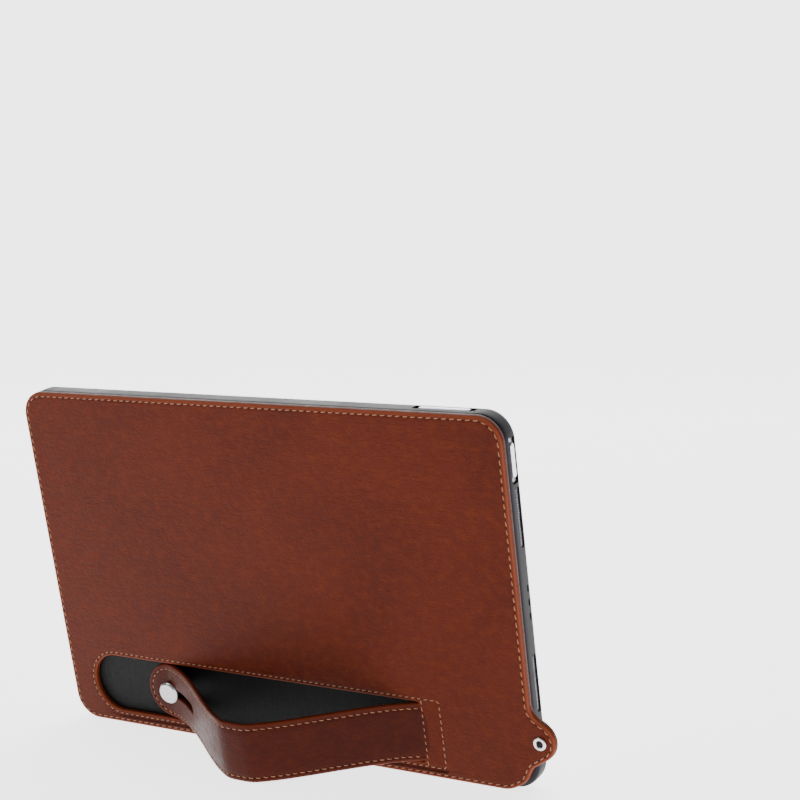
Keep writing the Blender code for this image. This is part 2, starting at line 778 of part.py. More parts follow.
build_panel()
build_eyelet()
build_rivet()
build_strap()
build_frame()
build_tablet_shell()
build_buttons()
build_inside()
stand_up()
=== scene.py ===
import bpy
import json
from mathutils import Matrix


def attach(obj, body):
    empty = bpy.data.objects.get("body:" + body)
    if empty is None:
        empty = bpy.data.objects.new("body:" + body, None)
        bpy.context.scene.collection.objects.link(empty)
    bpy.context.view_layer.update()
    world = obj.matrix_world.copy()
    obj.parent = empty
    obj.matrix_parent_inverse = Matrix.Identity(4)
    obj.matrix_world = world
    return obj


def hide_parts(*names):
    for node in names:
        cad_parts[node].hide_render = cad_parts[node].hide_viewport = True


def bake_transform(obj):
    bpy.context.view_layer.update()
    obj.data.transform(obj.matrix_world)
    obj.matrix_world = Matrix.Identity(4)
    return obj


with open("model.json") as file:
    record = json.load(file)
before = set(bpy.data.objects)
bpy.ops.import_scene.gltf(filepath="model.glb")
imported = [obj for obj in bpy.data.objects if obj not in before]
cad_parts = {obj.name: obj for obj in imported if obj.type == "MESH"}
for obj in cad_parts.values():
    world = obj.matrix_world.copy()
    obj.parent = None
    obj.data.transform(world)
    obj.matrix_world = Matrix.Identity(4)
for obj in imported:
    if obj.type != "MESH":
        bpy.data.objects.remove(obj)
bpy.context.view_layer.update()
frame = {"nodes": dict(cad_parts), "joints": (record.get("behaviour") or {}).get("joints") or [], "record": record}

import json
import math
import random

import bmesh
import bpy
from mathutils import Matrix, Vector

# ---------------------------------------------------------------- places
# Lengths are in millimetres in the case's own frame: X along the long side, Y up the short
# side, Z out of the leather back, whose outer face is Z = 0. CASE turns them into the world.
MM = 0.001
MOUNTS = {mount["name"]: mount for mount in frame["record"]["mounts"]}
BACK_REST_AT = Vector((129.0, 110.0, 0.0))
RIGHT = Vector((1.0, 0.0, 0.0))
NORMAL = Vector(MOUNTS["back_rest"]["axis"]).normalized()
UP = NORMAL.cross(RIGHT)
TURN = Matrix((RIGHT, UP, NORMAL)).transposed()
ORIGIN = Vector(MOUNTS["back_rest"]["pos_m"]) - TURN @ BACK_REST_AT * MM
CASE = Matrix.Translation(ORIGIN) @ TURN.to_4x4() @ Matrix.Scale(MM, 4)

PANEL_LENGTH, PANEL_HEIGHT, PANEL_CORNER = 258.0, 168.0, 12.0
TAB_CORNERS = (
    (244.8, 0.0, 14.0), (252.9, 4.7, 8.0), (256.9, 12.2, 5.0), (277.0, 25.5, 9.7), (258.0, 37.5, 8.0)
)
EYELET = Vector((261.8, 25.0))
EYELET_HOLE = 2.2
STRAP_Y, STRAP_HALF_WIDTH = 21.3, 14.0
RECESS_LEFT, RECESS_RIGHT, RECESS_HALF = 14.9, 202.9, 14.6
BOX_SEAM_X = 213.5
RIVET = Vector((61.9, STRAP_Y))
FRAME_CORNER = 12.0
TABLET_INSET = 1.1
KEY_Z = -8.3
VOLUME_X, VOLUME_LENGTH = 228.0, 24.4
POWER_Y, POWER_LENGTH = 147.5, 14.6
SPEAKER_Y = (48.5, 122.8)
GLASS_Z, GLASS_INSET, GLASS_CORNER = -11.6, 2.3, 9.7
SCREEN_LOW, SCREEN_HIGH = Vector((13.0, 11.5)), Vector((245.0, 156.5))


def spot(x, y, z=0.0):
    """A place in the case's frame as a point in the world, in metres."""
    return CASE @ Vector((x, y, z))


# ---------------------------------------------------------------- materials
class Surface:
    """A node material with short names for the nodes that its pattern needs."""

    def __init__(self, name, colour=(0.5, 0.5, 0.5), roughness=0.5, metallic=0.0, **sockets):
        self.material = bpy.data.materials.new(name)
        self.material.use_nodes = True
        self.tree = self.material.node_tree
        self.shader = self.tree.nodes["Principled BSDF"]
        self.set(self.shader, "Base Color", (*colour, 1.0))
        self.set(self.shader, "Roughness", roughness)
        self.set(self.shader, "Metallic", metallic)
        for socket, value in sockets.items():
            self.set(self.shader, socket.replace("_", " "), value)

    def set(self, node, socket, value):
        """Sets a socket to a number or colour, or links it to another node's output."""
        target = node.inputs[socket]
        if isinstance(value, bpy.types.NodeSocket):
            self.tree.links.new(value, target)
        else:
            target.default_value = value

    def node(self, kind, settings=(), **sockets):
        made = self.tree.nodes.new("ShaderNode" + kind)
        for name, value in dict(settings).items():
            setattr(made, name, value)
        for socket, value in sockets.items():
            self.set(made, int(socket[1:]) if socket[1:].isdigit() else socket.replace("_", " "), value)
        return made

    def plan(self, scale=(1.0, 1.0, 1.0)):
        """The piece's own plan, in metres, stretched by scale."""
        source = self.node("UVMap", {"uv_map": "plan"})
        return self.node("Mapping", Vector=source.outputs["UV"], Scale=scale).outputs["Vector"]

    def place(self, scale=(1.0, 1.0, 1.0)):
        source = self.node("TexCoord")
        return self.node("Mapping", Vector=source.outputs["Object"], Scale=scale).outputs["Vector"]

    def noise(self, vector, scale, detail=3.0, roughness=0.5, distortion=0.0):
        made = self.node(
            "TexNoise", Vector=vector, Scale=scale, Detail=detail, Roughness=roughness,
            Distortion=distortion,
        )
        return made.outputs["Fac"]

    def cells(self, vector, scale, feature="DISTANCE_TO_EDGE"):
        made = self.node("TexVoronoi", {"feature": feature}, Vector=vector, Scale=scale)
        return made.outputs["Distance"]

    def remap(self, value, low, high, to_low=0.0, to_high=1.0):
        made = self.node("MapRange")
        for index, number in enumerate((value, low, high, to_low, to_high)):
            self.set(made, index, number)
        return made.outputs["Result"]

    def math(self, operation, first, second):
        return self.node("Math", {"operation": operation}, _0=first, _1=second).outputs["Value"]

    def mix(self, share, first, second):
        """Blends two colours, or two colour outputs, by share."""
        made = self.node("Mix", {"data_type": "RGBA"})
        made.clamp_factor = True
        for index, value in ((0, share), (6, first), (7, second)):
            self.set(made, index, value if not isinstance(value, tuple) else (*value, 1.0))
        return made.outputs[2]

    def attribute(self, name):
        return self.node("Attribute", {"attribute_name": name}).outputs["Fac"]

    def bump(self, height, depth, below=None):
        made = self.node("Bump", Height=height, Strength=1.0, Distance=depth)
        if below is not None:
            self.set(made, "Normal", below)
        return made.outputs["Normal"]

    def wear(self, colour=None, roughness=None, normal=None):
        for socket, value in (("Base Color", colour), ("Roughness", roughness), ("Normal", normal)):
            if value is not None:
                self.set(self.shader, socket, value)
        return self.material


def leather(name, dark, mid, light, edge, creases=1.0):
    """Waxed split leather: mottled, finely creased along its length, with painted shade in the creases and a
    painted highlight along the rounded turned edges.
    """
    made = Surface(name, mid, 0.45, Coat_Weight=0.0, Coat_Roughness=0.3, Specular_IOR_Level=0.07)
    plan = made.plan()
    clouds = made.noise(plan, 16.0, 3.0, 0.6, 0.6)
    flecks = made.noise(plan, 210.0, 4.0, 0.65)
    brushed = made.noise(made.plan((130.0, 620.0, 1.0)), 1.0, 4.0, 0.6, 0.5)
    warped = made.node("VectorMath", {"operation": "ADD"})
    made.set(warped, 0, made.plan((0.8, 1.35, 1.0)))
    sway = made.node("TexNoise", Vector=plan, Scale=70.0, Detail=2.0)
    shift = made.node("VectorMath", {"operation": "SCALE"}, Vector=sway.outputs["Color"])
    made.set(shift, "Scale", 0.006)
    made.set(warped, 1, shift.outputs["Vector"])
    wrinkles = made.remap(made.cells(warped.outputs["Vector"], 330.0), 0.0, 0.11)
    pebbles = made.noise(plan, 1500.0, 2.0, 0.5)
    colour = made.mix(made.remap(clouds, 0.32, 0.68), dark, mid)
    colour = made.mix(made.remap(flecks, 0.45, 0.75, 0.0, 0.55), colour, light)
    # Crease and wrinkle lines darken where their bumps dip: partly the grain's own tone, partly painted shade in
    # the creases.
    colour = made.mix(made.remap(brushed, 0.3, 0.5, 0.35, 0.0), colour, dark)
    colour = made.mix(made.remap(wrinkles, 0.0, 1.0, 0.28, 0.0), colour, dark)
    # Painted highlight: the 'edge' attribute pales the colour along the rounded turned edges.
    colour = made.mix(made.attribute("edge"), colour, edge)
    normal = made.bump(brushed, 0.00016 * creases)
    normal = made.bump(wrinkles, 0.00007 * creases, normal)
    normal = made.bump(pebbles, 0.00002, normal)
    rough = made.remap(flecks, 0.3, 0.7, 0.36, 0.52)
    return made.wear(colour, rough, normal)


def thread(name, colour, shade):
    """Waxed sewing thread: two plies twisted together."""
    made = Surface(name, colour, 0.6, Sheen_Weight=0.2)
    plies = made.node("TexWave", Vector=made.plan((1.0, 1.0, 1.0)), Scale=600.0, Distortion=1.5)
    tone = made.noise(made.place(), 900.0, 2.0)
    twisted = made.mix(made.remap(plies.outputs["Fac"], 0.1, 0.7, 0.55, 0.0), colour, shade)
    return made.wear(
        made.mix(made.remap(tone, 0.35, 0.65, 0.35, 0.0), twisted, shade),
        normal=made.bump(plies.outputs["Fac"], 0.00008),
    )


def plastic(name, colour, lighter, roughness=0.5, grain=2600.0, depth=0.00002):
    """Moulded flexible plastic with a fine matt texture and faint rubbed patches."""
    made = Surface(name, colour, roughness, Specular_IOR_Level=0.14)
    rubbed = made.noise(made.place(), 26.0, 3.0, 0.6)
    texture = made.noise(made.place(), grain, 2.0)
    return made.wear(
        made.mix(made.remap(rubbed, 0.4, 0.75, 0.0, 0.7), colour, lighter),
        made.remap(rubbed, 0.3, 0.7, roughness - 0.07, roughness + 0.06),
        made.bump(texture, depth),
    )


def metal(name, colour, roughness, stretch=(1.0, 1.0, 1.0), scale=900.0, depth=0.000006):
    """Plated or anodised metal with fine marks drawn out along one direction."""
    made = Surface(name, colour, roughness, 1.0)
    marks = made.noise(made.place(stretch), scale, 3.0)
    cloud = made.noise(made.place(), 60.0, 2.0)
    return made.wear(
        made.mix(made.remap(cloud, 0.35, 0.7, 0.0, 0.4), colour, tuple(0.82 * c for c in colour)),
        made.remap(marks, 0.3, 0.7, roughness * 0.8, roughness * 1.25),
        made.bump(marks, depth),
    )


def brushed_lining(name):
    """Black lining film with fine drawn lines across the recess."""
    made = Surface(name, (0.003, 0.003, 0.003), 0.6, Specular_IOR_Level=0.12)
    lines = made.noise(made.place((2600.0, 90.0, 90.0)), 1.0, 3.0, 0.6)
    dust = made.noise(made.place(), 1400.0, 2.0)
    return made.wear(
        made.mix(made.remap(lines, 0.42, 0.75), (0.001, 0.001, 0.001), (0.005, 0.0045, 0.0047)),
        made.remap(dust, 0.3, 0.7, 0.45, 0.7),
        made.bump(lines, 0.00004),
    )


def paper(name):
    """E-paper behind etched glass: warm white with a very fine tooth."""
    made = Surface(name, (0.9, 0.86, 0.76), 0.6)
    tooth = made.noise(made.place(), 1100.0, 4.0, 0.7)
    cloud = made.noise(made.place(), 30.0, 4.0)
    colour = made.mix(made.remap(cloud, 0.35, 0.7), (0.91, 0.87, 0.77), (0.86, 0.81, 0.7))
    colour = made.mix(made.remap(tooth, 0.3, 0.5, 0.22, 0.0), colour, (0.6, 0.54, 0.43))
    return made.wear(colour, normal=made.bump(tooth, 0.00001))


def wash(name, first, second, third):
    """A watercolour wash that runs from one tint to another and dries darker in places."""
    made = Surface(name, first, 0.62)
    bleed = made.noise(made.place(), 75.0, 4.0, 0.65, 1.0)
    pool = made.noise(made.place(), 210.0, 4.0, 0.7, 0.6)
    colour = made.mix(made.remap(bleed, 0.38, 0.62), first, second)
    return made.wear(made.mix(made.remap(pool, 0.5, 0.72, 0.0, 0.75), colour, third))


# The last colour of each leather is the painted highlight along its rounded turned edges.
BACK_LEATHER = leather(
    "back_leather", (0.05, 0.0048, 0.0006), (0.069, 0.008, 0.001), (0.104, 0.017, 0.0028),
    (0.17, 0.036, 0.014),
)
STRAP_LEATHER = leather(
    "strap_leather", (0.029, 0.0024, 0.0002), (0.041, 0.0041, 0.0004), (0.066, 0.01, 0.0013),
    (0.08, 0.013, 0.004), 0.8,
)
LINING_LEATHER = leather(
    "lining_leather", (0.12, 0.026, 0.012), (0.18, 0.045, 0.023), (0.26, 0.08, 0.045),
    (0.34, 0.12, 0.075), 0.7,
)
THREAD = thread("thread", (0.34, 0.13, 0.04), (0.09, 0.02, 0.006))
# Painted shade: the needle holes are coloured dark for the shade inside them.
NEEDLE_HOLE = plastic("needle_hole", (0.012, 0.005, 0.004), (0.02, 0.008, 0.006), 0.8)
FRAME_PLASTIC = plastic("frame_plastic", (0.009, 0.008, 0.011), (0.016, 0.0145, 0.018), 0.46)
NICKEL = metal("nickel", (0.46, 0.45, 0.45), 0.26)
NICKEL_RIM = metal("nickel_rim", (0.62, 0.61, 0.6), 0.16)
TABLET_METAL = metal("tablet_metal", (0.5, 0.49, 0.53), 0.38, scale=2500.0)
KEY_METAL = metal("key_metal", (0.78, 0.75, 0.84), 0.3, scale=2500.0)
LINER = brushed_lining("recess_lining")
BEZEL = plastic("bezel", (0.028, 0.028, 0.031), (0.034, 0.034, 0.038), 0.34, 5200.0, 0.000006)
PAGE = paper("page")
INK = plastic("ink", (0.02, 0.018, 0.02), (0.05, 0.045, 0.045), 0.6, 1600.0)
WASHES = (
    wash("wash_blue", (0.2, 0.45, 0.72), (0.42, 0.66, 0.84), (0.1, 0.24, 0.5)),
    wash("wash_lilac", (0.5, 0.42, 0.7), (0.68, 0.6, 0.8), (0.3, 0.24, 0.5)),
    wash("wash_rust", (0.42, 0.16, 0.1), (0.6, 0.3, 0.2), (0.2, 0.06, 0.05)),
)
DARK_PLASTIC = plastic("dark_plastic", (0.015, 0.015, 0.016), (0.03, 0.03, 0.032), 0.5)


# ---------------------------------------------------------------- mesh tools
def finish_mesh(form, name, surface, matrix=CASE, sharp=40.0):
    """Makes a piece from a form built in the case's frame, or in the frame of matrix."""
    bmesh.ops.recalc_face_normals(form, faces=form.faces)
    mesh = bpy.data.meshes.new(name)
    form.to_mesh(mesh)
    form.free()
    mesh.transform(matrix)
    mesh.shade_smooth()
    mesh.set_sharp_from_angle(angle=math.radians(sharp))
    mesh.materials.append(surface)
    made = bpy.data.objects.new(name, mesh)
    bpy.context.scene.collection.objects.link(made)
    return made


def rounded(corners, steps=12):
    """(point, outward normal) along a closed outline, from corners (x, y, radius), anticlockwise."""
    path = []
    for i, (x, y, radius) in enumerate(corners):
        here = Vector((x, y))
        back = (Vector(corners[i - 1][:2]) - here).normalized()
        on = (Vector(corners[(i + 1) % len(corners)][:2]) - here).normalized()
        bulges = back.x * on.y - back.y * on.x < 0.0
        half = back.angle(on) / 2
        middle = here + (back + on).normalized() * radius / math.sin(half)
        first = here + back * radius / math.tan(half) - middle
        turn = (math.pi - 2 * half) * (1 if bulges else -1)
        for k in range(steps + 1):
            angle = turn * k / steps
            arm = Matrix.Rotation(angle, 2) @ first
            path.append((middle + arm, arm.normalized() * (1 if bulges else -1)))
    return path


def split_long(path, longest):
    """Adds points to the straight stretches of an outline, so that none is longer than longest."""
    finer = []
    for (start, normal), (end, next_normal) in zip(path, path[1:] + path[:1]):
        finer.append((start, normal))
        parts = math.ceil((end - start).length / longest)
        for k in range(1, parts):
            share = k / parts
            finer.append((start.lerp(end, share), normal.lerp(next_normal, share).normalized()))
    return finer


def ring(form, path, inset, z):
    return [form.verts.new((*(point - normal * inset), z)) for point, normal in path]


def bridge(form, rings):
    for lower, upper in zip(rings, rings[1:]):
        for a in range(len(lower)):
            b = (a + 1) % len(lower)
            form.faces.new((lower[a], lower[b], upper[b], upper[a]))


def fill(form, *loops):
    """Fills the flat region between one loop of points and the others inside it."""
    edges = []
    for loop in loops:
        for a, b in zip(loop, loop[1:] + loop[:1]):
            edges.append(form.edges.get((a, b)) or form.edges.new((a, b)))
    bmesh.ops.triangle_fill(form, use_beauty=True, use_dissolve=False, edges=edges)


def circle(centre, radius, steps=32):
    """An outline like rounded()'s around a round hole: its normals point into the material."""
    path = []
    for k in range(steps):
        arm = Vector((math.cos(2 * math.pi * k / steps), math.sin(2 * math.pi * k / steps)))
        path.append((centre + arm * radius, arm))
    return path


def add_plan(form):
    """Stores the plan in metres for the patterns."""
    layer = form.loops.layers.uv.new("plan")
    for face in form.faces:
        for loop in face.loops:
            loop[layer].uv = (loop.vert.co.x * MM, loop.vert.co.y * MM)


def paint_edge_highlight(piece, values):
    # Stores how much painted highlight each point takes, under the name edge.
    attribute = piece.data.attributes.new("edge", "FLOAT", "POINT")
    attribute.data.foreach_set("value", values)


def turned(name, profile, centre, surface, steps=48):
    """A closed ring or disc of revolution about a line along Z through centre."""
    form = bmesh.new()
    rings = []
    for radius, z in profile:
        if radius == 0.0:
            rings.append([form.verts.new((centre.x, centre.y, z))])
            continue
        angles = (2 * math.pi * k / steps for k in range(steps))
        rings.append(
            [
                form.verts.new((centre.x + radius * math.cos(a), centre.y + radius * math.sin(a), z))
                for a in angles
            ]
        )
    for lower, upper in zip(rings, rings[1:] + rings[:1]):
        for a in range(steps):
            b = (a + 1) % steps
            below = (lower[a % len(lower)], lower[b % len(lower)])
            above = (upper[b % len(upper)], upper[a % len(upper)])
            corners = tuple(dict.fromkeys(below + above))
            if len(corners) > 2:
                form.faces.new(corners)
    return finish_mesh(form, name, surface)


def riding(piece, body, slot, *replaced):
    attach(piece, body)
    if replaced:
        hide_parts(*replaced)
    return piece


# ---------------------------------------------------------------- stitching
STITCH_PITCH, STRAP_PITCH = 3.7, 3.2
THREAD_RADIUS = 0.23
STITCH_SHARE = 0.66
STITCH_SLANT = math.radians(7)


def walk(path, pitch, closed=True):
    """Evenly spaced (point, direction) along a list of points, as near to pitch as fits."""
    points = path + path[:1] if closed else path
    lengths = [(b - a).length for a, b in zip(points, points[1:])]
    count = round(sum(lengths) / pitch)
    step = sum(lengths) / count
    steps = []
    index, travelled = 0, 0.0
    for k in range(count):
        target = (k + 0.5) * step
        while travelled + lengths[index] < target:
            travelled += lengths[index]
            index += 1
        along = (points[index + 1] - points[index]).normalized()
        steps.append((points[index] + along * (target - travelled), along))
    return steps, step


def add_stitch(form, layer, middle, along, length, z, rng):
    """One stitch: a short length of thread that dives into the leather at both ends."""
    slant = STITCH_SLANT + rng.uniform(-0.04, 0.04)
    along = Matrix.Rotation(slant, 2) @ along
    across = Vector((-along.y, along.x))
    sides, rows = 8, 8
    loops = []
    for row in range(rows + 1):
        share = row / rows
        reach = (share - 0.5) * length
        lift = math.sin(math.pi * share) ** 0.5 * 0.36 - 0.22
        thick = THREAD_RADIUS * (0.62 + 0.38 * math.sin(math.pi * share) ** 0.5)
        loop = []
        for side in range(sides):
            angle = 2 * math.pi * side / sides
            place = middle + along * reach + across * thick * 1.1 * math.cos(angle)
            loop.append(form.verts.new((place.x, place.y, z + lift + thick * math.sin(angle))))
        loops.append(loop)
    faces = []
    for lower, upper in zip(loops, loops[1:]):
        for a in range(sides):
            b = (a + 1) % sides
            faces.append(form.faces.new((lower[a], lower[b], upper[b], upper[a])))
    faces.append(form.faces.new(loops[0][::-1]))
    faces.append(form.faces.new(loops[-1]))
    for face in faces:
        for corner in face.loops:
            offset = Vector(corner.vert.co[:2]) - middle
            twist = offset.dot(along) + 0.9 * offset.dot(across)
            corner[layer].uv = (twist * MM, offset.dot(across) * MM)


def add_hole(form, middle, along, z):
    """The dent that the needle leaves between two stitches, dark as painted shade in the hole."""
    across = Vector((-along.y, along.x))
    loops = []
    for size, height in ((0.55, -0.06), (0.47, 0.012), (0.2, 0.0)):
        loop = []
        for side in range(8):
            angle = 2 * math.pi * side / 8
            place = middle + (along * 1.15 * math.cos(angle) + across * 0.85 * math.sin(angle)) * size
            loop.append(form.verts.new((place.x, place.y, z + height)))
        loops.append(loop)
    bridge(form, loops)
    form.faces.new(loops[-1])
    form.faces.new(loops[0][::-1])


def seam(runs, seed=1):
    """Two forms, of the stitches and of the needle holes, along runs of (points, pitch, z, closed)."""
    rng = random.Random(seed)
    stitches, holes = bmesh.new(), bmesh.new()
    layer = stitches.loops.layers.uv.new("plan")
    for points, pitch, z, closed in runs:
        steps, step = walk(points, pitch, closed)
        for middle, along in steps:
            add_stitch(stitches, layer, middle, along, step * STITCH_SHARE, z, rng)
            add_hole(holes, middle + along * step / 2, along, z)
    return stitches, holes


# ---------------------------------------------------------------- leather back
EDGE_PROFILE = (  # inset from the outline, height, painted highlight on the rounded turned edge
    (1.5, -1.5, 0.0), (1.5, -3.3, 0.0), (0.6, -3.36, 0.1), (0.2, -3.2, 0.2), (0.0, -2.8, 0.1),
    (0.0, -1.5, 0.1), (0.04, -0.95, 0.3), (0.16, -0.5, 0.9), (0.42, -0.2, 1.0), (0.8, -0.06, 0.45),
    (1.4, -0.03, 0.3), (1.62, -0.12, 0.0), (1.8, -0.2, 0.0), (2.0, -0.2, 0.0), (2.2, -0.12, 0.0),
    (2.5, -0.03, 0.0), (3.1, 0.0, 0.0), (4.2, 0.0, 0.0),
)
STITCH_INSET, STITCH_Z = 1.9, -0.17
RECESS_PROFILE = (  # distance out from the opening, height, painted highlight on the rounded edge
    (2.6, -1.5, 0.0), (0.7, -1.5, 0.0), (0.6, -2.6, 0.0), (0.15, -2.6, 0.2), (0.0, -2.3, 0.3),
    (0.0, -0.8, 0.5), (0.1, -0.35, 0.8), (0.4, -0.1, 0.5), (0.8, -0.02, 0.15), (1.15, -0.03, 0.0),
    (1.4, -0.12, 0.0), (1.58, -0.2, 0.0), (1.8, -0.2, 0.0), (2.0, -0.12, 0.0), (2.3, -0.03, 0.0),
    (2.9, 0.0, 0.0), (3.9, 0.0, 0.0),
)
BOX_SEAM_FROM = 1.3
RECESS_SEAM_OUT = 1.7


def panel_path():
    corners = [(0.0, 0.0, PANEL_CORNER), *TAB_CORNERS]
    corners += [(PANEL_LENGTH, PANEL_HEIGHT, PANEL_CORNER), (0.0, PANEL_HEIGHT, PANEL_CORNER)]
    return split_long(rounded(corners), 6.0)


def recess_path(out, right):
    """The recess's outline, out from the opening, with its square end at right."""
    half = RECESS_HALF + out
    left = RECESS_LEFT - out
    corners = (
        (left, STRAP_Y - half, half - 0.001), (right, STRAP_Y - half, 0.8 + 0.5 * out),
        (right, STRAP_Y + half, 0.8 + 0.5 * out), (left, STRAP_Y + half, half - 0.001),
    )
    path = rounded(corners, 16)
    return [point for point, _ in path]


def recess_right(out):
    """The square end lies past the box seam once the outline is outside the turned edge."""
    return RECESS_RIGHT + out if out < BOX_SEAM_FROM else BOX_SEAM_X - RECESS_SEAM_OUT + out


def make_back():
    form = bmesh.new()
    # Painted highlight amount of each point.
    shade = []
    outer = []
    path = panel_path()
    for inset, z, highlight in EDGE_PROFILE:
        outer.append(ring(form, path, inset, z))
        shade += [highlight] * len(path)
    inner = []
    for index, (out, z, highlight) in enumerate(RECESS_PROFILE):
        right = RECESS_RIGHT + out if index < 3 else recess_right(out)
        points = recess_path(out, right)
        inner.append([form.verts.new((*point, z)) for point in points])
        shade += [highlight] * len(points)
    eyelet = []
    hole = circle(EYELET, EYELET_HOLE)
    for z in (-1.5, 0.0):
        eyelet.append(ring(form, hole, 0.0, z))
        shade += [0.0] * len(hole)
    for rings in (outer, inner, eyelet):
        bridge(form, rings)
    for end in (0, -1):
        fill(form, outer[end], inner[end], eyelet[end])
    add_plan(form)
    back = finish_mesh(form, "leather_back", BACK_LEATHER)
    paint_edge_highlight(back, shade)
    riding(back, "case", "leather", "back_leather")

    outline = [point - normal * STITCH_INSET for point, normal in path]
    around = recess_path(RECESS_SEAM_OUT, BOX_SEAM_X)
    cross_x = RECESS_RIGHT + 1.6
    reach = RECESS_HALF + RECESS_SEAM_OUT
    cross = [Vector((cross_x, STRAP_Y + side * reach)) for side in (-1, 1)]
    runs = (
        (outline, STITCH_PITCH, STITCH_Z, True),
        (around, STRAP_PITCH, STITCH_Z, True),
        (cross, STRAP_PITCH, STITCH_Z + 0.12, False),
    )
    stitches, holes = seam(runs)
    riding(finish_mesh(stitches, "back_stitches", THREAD), "case", "leather")
    riding(finish_mesh(holes, "back_needle_holes", NEEDLE_HOLE), "case", "leather")


def make_tab_lining():
    """The second ply of the tab, sewn to the first and seen from the screen side."""
    left = PANEL_LENGTH - 1.2
    corners = [(left, 13.0, 2.2), *TAB_CORNERS[3:], (left, 45.5, 2.2)]
    path = split_long(rounded(corners), 4.0)
    form = bmesh.new()
    shade = []
    # Inset, height, painted highlight on the rounded edge of the tab lining.
    profile = (
        (1.6, -3.0, 0.0), (0.4, -3.02, 0.4), (0.16, -3.12, 0.9), (0.2, -3.3, 1.0), (0.5, -3.42, 0.7),
        (1.0, -3.46, 0.2), (2.0, -3.46, 0.0),
    )
    rings = []
    for inset, z, highlight in profile:
        rings.append(ring(form, path, inset, z))
        shade += [highlight] * len(path)
    hole = circle(EYELET, EYELET_HOLE)
    bore = []
    for z in (-3.0, -3.46):
        bore.append(ring(form, hole, 0.0, z))
        shade += [0.0] * len(hole)
    bridge(form, rings)
    bridge(form, bore)
    for end in (0, -1):
        fill(form, rings[end], bore[end])
    add_plan(form)
    lining = finish_mesh(form, "tab_lining_leather", LINING_LEATHER)
    paint_edge_highlight(lining, shade)
    riding(lining, "case", "leather", "tab_lining")


def make_eyelet():
    flange, bore = 3.1, 1.5
    profile = [(bore, -3.9), (bore, 0.35)]
    for k in range(9):
        angle = math.pi * (1 - k / 8)
        middle, reach = (flange + bore) / 2, (flange - bore) / 2
        profile.append((middle + reach * math.cos(angle), 0.32 + 0.62 * math.sin(angle)))
    profile += [(flange - 0.1, 0.06), (2.1, 0.02), (2.1, -3.9)]
    eyelet = turned("eyelet", profile, EYELET, NICKEL_RIM)
    # Painted shade: the bore's faces take the dark plastic, for the shade inside the eyelet.
    eyelet.data.materials.append(DARK_PLASTIC)
    middle = spot(*EYELET)
    for face in eyelet.data.polygons:
        arm = face.center - middle
        if (arm - NORMAL * arm.dot(NORMAL)).length < (bore + 0.05) * MM:
            face.material_index = 1
    riding(eyelet, "case", "nickel", "eyelet_barrel")
    washer = [
        (2.1, -3.5), (flange, -3.55), (flange - 0.05, -3.75), (flange - 0.4, -4.0), (2.6, -4.12), (2.1, -4.05),
    ]
    riding(turned("eyelet_back", washer, EYELET, NICKEL_RIM), "case", "nickel", "eyelet_washer")


def make_rivet():
    """A thick disc with a bevelled rim, on the stud that the slot slides along."""
    profile = [(0.0, 2.78)]
    profile += [(4.2 * k / 6, 2.78 - 0.08 * (k / 6) ** 2) for k in range(1, 7)]
    profile += [
        (4.45, 2.66), (4.62, 2.56), (5.2, 2.12), (5.36, 1.95), (5.45, 1.7), (5.45, 0.75), (5.38, 0.5),
        (5.15, 0.28), (4.7, 0.16), (2.2, 0.14), (2.2, 1.5), (0.0, 1.5),
    ]
    riding(turned("rivet_disc", profile, RIVET, NICKEL, 72), "case", "nickel", "rivet_cap")


# ---------------------------------------------------------------- strap
JOINTS = {joint["child"]: joint for joint in frame["joints"]}
LINKS = [f"strap_link_{number:02d}" for number in range(1, 14)] + ["strap_end"]
HINGES = [Vector(JOINTS[link]["pos_m"]) for link in LINKS]
LINK_LENGTH = (HINGES[1] - HINGES[0]).length / MM
STRAP_ROOT, STRAP_TIP = -12.5, LINK_LENGTH * 13 + 14.5
SLOT_FROM, SLOT_TO, SLOT_HALF = STRAP_TIP - 41.0, STRAP_TIP - 13.3, 2.2
STRAP_EDGE = (  # inset from the strap's outline, height over its middle, painted highlight on the rounded edge
    (1.0, -0.9, 0.0), (0.4, -0.84, 0.1), (0.06, -0.6, 0.35), (0.0, -0.2, 0.5), (0.0, 0.2, 0.65),
    (0.08, 0.6, 0.9), (0.3, 0.9, 1.0), (0.7, 1.1, 0.7), (1.3, 1.2, 0.25), (1.8, 1.18, 0.08),
    (2.1, 1.06, 0.0), (2.3, 0.98, 0.0), (2.5, 0.98, 0.0), (2.7, 1.06, 0.0), (3.1, 1.2, 0.0),
    (4.2, 1.33, 0.0), (6.0, 1.42, 0.0), (8.0, 1.45, 0.0),
)
STRAP_STITCH_INSET, STRAP_STITCH_Z = 2.4, 1.01
CORNER_PULL = 2.2  # how far the strap's curve reaches into the corner at each hinge
BOW_LIFT, BOW_MIDDLE, BOW_REACH = 0.32, 6.5, 4.0  # height, then place and half length in links
# Inset from the slot's outline, height, painted highlight on the rounded edge.
SLOT_EDGE = (
    (0.8, -0.9, 0.0), (0.15, -0.78, 0.1), (0.0, -0.4, 0.3), (0.0, 0.7, 0.5), (0.1, 1.05, 0.8),
    (0.4, 1.3, 0.5), (0.9, 1.42, 0.1), (1.5, 1.45, 0.0),
)


